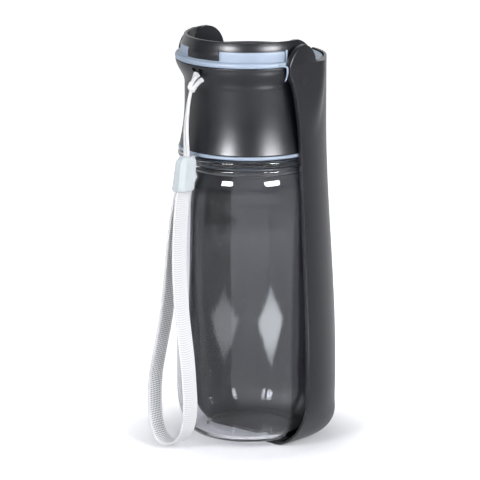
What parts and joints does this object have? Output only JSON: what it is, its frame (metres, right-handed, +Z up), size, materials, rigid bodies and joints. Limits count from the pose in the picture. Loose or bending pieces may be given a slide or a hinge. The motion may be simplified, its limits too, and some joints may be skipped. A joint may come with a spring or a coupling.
{
  "type": "dog travel water bottle",
  "caption": "Clear travel bottle with a waisted push-valve head, a folding drinking trough that wraps its back, silicone seals and a looped wrist strap.",
  "frame": {"origin": "on the foot face of the folded trough, straight below the bottle's axis", "axes": "+Z up along the bottle's axis; -Y to the front, where the strap hangs; +Y to the back, where the folded trough is; X along the trough's hinge axis"},
  "size_m": [0.0888, 0.0942, 0.2105],
  "materials": {
    "clear_plastic": "clear, polished",
    "blue_silicone": "satin silicone",
    "black_plastic": "satin moulded",
    "white_plastic": "satin moulded",
    "spring_steel": "bright drawn wire",
    "white_cord": "braided polyester",
    "frosted_plastic": "frosted translucent",
    "white_webbing": "woven mesh webbing"
  },
  "bodies": {
    "head": {"collar_shell": "black_plastic", "neck_insert": "white_plastic", "neck_seal": "blue_silicone", "basin": "black_plastic", "rim_seal": "blue_silicone", "outlet_grille": "black_plastic", "valve_guide": "white_plastic", "vent_valve": "blue_silicone", "button_frame": "black_plastic", "button_seal": "blue_silicone", "hinge_washer_left": "white_plastic", "hinge_washer_right": "white_plastic", "lanyard_cord": "white_cord", "lanyard_knot": "white_cord", "strap_clip": "frosted_plastic", "strap_webbing": "white_webbing"},
    "trough": {"trough_shell": "black_plastic", "hinge_pin_left": "spring_steel", "hinge_pin_right": "spring_steel"},
    "button": {"release_button": "black_plastic", "button_spring": "spring_steel"},
    "valve": {"valve_stem": "white_plastic", "valve_seal": "blue_silicone", "valve_spring": "spring_steel"},
    "gasket": {"neck_gasket": "blue_silicone"},
    "bottle": {"bottle_shell": "clear_plastic"}
  },
  "joints": [
    {"name": "trough_hinge", "type": "hinge", "parent": "head", "child": "trough", "pos_m": [0, 0, 0.1975], "axis": [1, 0, 0], "range_deg": [0, 180]},
    {"name": "button_press", "type": "slide", "parent": "head", "child": "button", "axis": [0, -1, 0], "range_m": [0, 0.002], "stiffness_N_per_m": 600, "springref_m": -0.002, "deforming": ["button_spring"]},
    {"name": "valve_drop", "type": "slide", "parent": "head", "child": "valve", "axis": [0, 0, -1], "range_m": [0, 0.002], "deforming": ["valve_spring"]},
    {"name": "gasket_drop", "type": "slide", "parent": "head", "child": "gasket", "axis": [0, 0, -1], "range_m": [0, 0.00125]},
    {"name": "bottle_unscrew", "type": "hinge", "parent": "gasket", "child": "bottle", "pos_m": [0, 0, 0.1], "axis": [0, 0, -1], "range_deg": [0, 150]}
  ],
  "couplings": [
    {"joint": "valve_drop", "follows": "button_press", "ratio": 1},
    {"joint": "gasket_drop", "follows": "bottle_unscrew", "m_per_rad": 0.000477}
  ]
}
